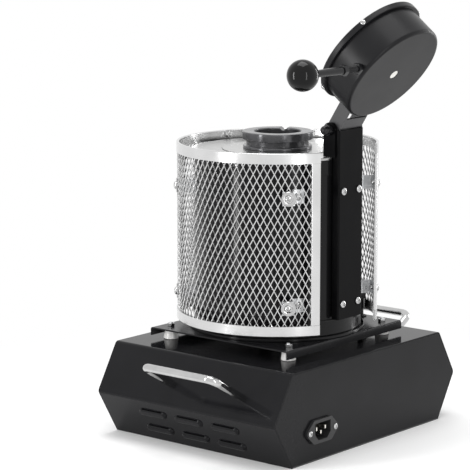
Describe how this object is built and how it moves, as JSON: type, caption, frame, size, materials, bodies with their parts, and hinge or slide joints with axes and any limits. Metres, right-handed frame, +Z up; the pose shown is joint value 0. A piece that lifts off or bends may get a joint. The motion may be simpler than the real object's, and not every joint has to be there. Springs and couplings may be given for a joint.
{
  "type": "electric melting furnace",
  "caption": "Bench-top electric crucible furnace with a caged round body on a six-sided base, its hinged lid swung open by a ball handle.",
  "frame": {"origin": "centre of the base's resting face, the underside of its floor plate", "axes": "+Z up; +Y towards the back, with the mains inlet and the lid's post; +X to the right seen from the front, towards the lid's ball handle"},
  "size_m": [0.3782, 0.2972, 0.4453],
  "materials": {
    "gloss_black": "gloss",
    "dark_sheet": "satin",
    "satin_black": "satin",
    "bright_steel": "polished",
    "zinc_steel": "plated",
    "black_plastic": "fine texture",
    "black_gloss_plastic": "gloss",
    "blade_metal": "plated",
    "smoked_window": "gloss",
    "grey_key": "satin",
    "plain_aluminium": "extruded",
    "cream_plastic": "satin",
    "white_ceramic": "glazed",
    "body_black": "gloss",
    "post_black": "satin",
    "black_oxide": "oiled black oxide",
    "pale_steel": "fine brushed",
    "fire_brick": "porous",
    "heater_alloy": "oxidised",
    "ceramic_fibre": "matt",
    "black_rubber": "matt",
    "graphite": "satin",
    "bright_mesh": "bright",
    "bright_strip": "bright",
    "lid_black": "satin",
    "grey_arm": "satin",
    "knob_plastic": "polished"
  },
  "bodies": {
    "furnace": {"base_cover": "gloss_black", "floor_plate": "dark_sheet", "rear_panel": "satin_black", "front_panel": "satin_black", "carry_handle_right": "bright_steel", "carry_handle_left": "bright_steel", "handle_bolts": "zinc_steel", "inlet_socket": "black_plastic", "inlet_blades": "blade_metal", "inlet_screws": "bright_steel", "controller_case": "black_plastic", "controller_window": "smoked_window", "switch_housing": "black_plastic", "heat_sink": "plain_aluminium", "solid_state_relay": "cream_plastic", "ceramic_standoffs": "white_ceramic", "standoff_studs": "zinc_steel", "standoff_nuts": "bright_steel", "tray": "satin_black", "body_pan": "dark_sheet", "body_shell": "body_black", "body_bands": "body_black", "cap_screws": "bright_steel", "top_plate": "pale_steel", "mouth_plate": "pale_steel", "floor_brick": "fire_brick", "muffle_tube": "fire_brick", "heating_element": "heater_alloy", "insulation_wall": "ceramic_fibre", "thermocouple": "bright_steel", "terminal_box": "black_plastic", "lead_sleeve": "black_rubber", "lead_grommets": "black_rubber", "guard_mesh": "bright_mesh", "guard_bands": "bright_strip", "guard_edge_strips": "bright_strip", "guard_brackets": "bright_steel", "guard_screws": "bright_steel", "lid_post": "post_black", "post_bushes": "zinc_steel", "post_screws": "bright_steel", "hinge_bolt": "black_oxide", "hinge_cap_nut": "black_oxide"},
    "lid": {"lid_shell": "lid_black", "lid_rim_ring": "lid_black", "lid_rim_screws": "bright_steel", "lid_insulation": "ceramic_fibre", "lid_vent_plug": "white_ceramic", "lid_arm": "grey_arm", "lid_saddle": "lid_black", "lid_grip_nuts": "black_oxide", "lid_grip_rod": "black_oxide", "lid_ball_knob": "knob_plastic"},
    "crucible_body": {"crucible": "graphite"},
    "rocker_body": {"switch_rocker": "black_gloss_plastic"},
    "key_set_body": {"key_set": "grey_key"},
    "key_shift_body": {"key_shift": "grey_key"},
    "key_down_body": {"key_down": "grey_key"},
    "key_up_body": {"key_up": "grey_key"}
  },
  "joints": [
    {"name": "lid_hinge", "type": "hinge", "parent": "furnace", "child": "lid", "pos_m": [0, 0.0798, 0.3173], "axis": [-1, 0, 0], "range_deg": [-128.5, 0]},
    {"name": "crucible_lift", "type": "slide", "parent": "furnace", "child": "crucible_body", "axis": [0, 0, 1], "range_m": [0, 0.16]},
    {"name": "rocker_tilt", "type": "hinge", "parent": "furnace", "child": "rocker_body", "pos_m": [0.042, -0.111, 0.052], "axis": [-1, 0, 0], "range_deg": [0, 14]},
    {"name": "key_set_press", "type": "slide", "parent": "furnace", "child": "key_set_body", "axis": [0, 1, 0], "range_m": [0, 0.0008], "stiffness_N_per_m": 300, "springref_m": -0.001},
    {"name": "key_shift_press", "type": "slide", "parent": "furnace", "child": "key_shift_body", "axis": [0, 1, 0], "range_m": [0, 0.0008], "stiffness_N_per_m": 300, "springref_m": -0.001},
    {"name": "key_down_press", "type": "slide", "parent": "furnace", "child": "key_down_body", "axis": [0, 1, 0], "range_m": [0, 0.0008], "stiffness_N_per_m": 300, "springref_m": -0.001},
    {"name": "key_up_press", "type": "slide", "parent": "furnace", "child": "key_up_body", "axis": [0, 1, 0], "range_m": [0, 0.0008], "stiffness_N_per_m": 300, "springref_m": -0.001}
  ]
}
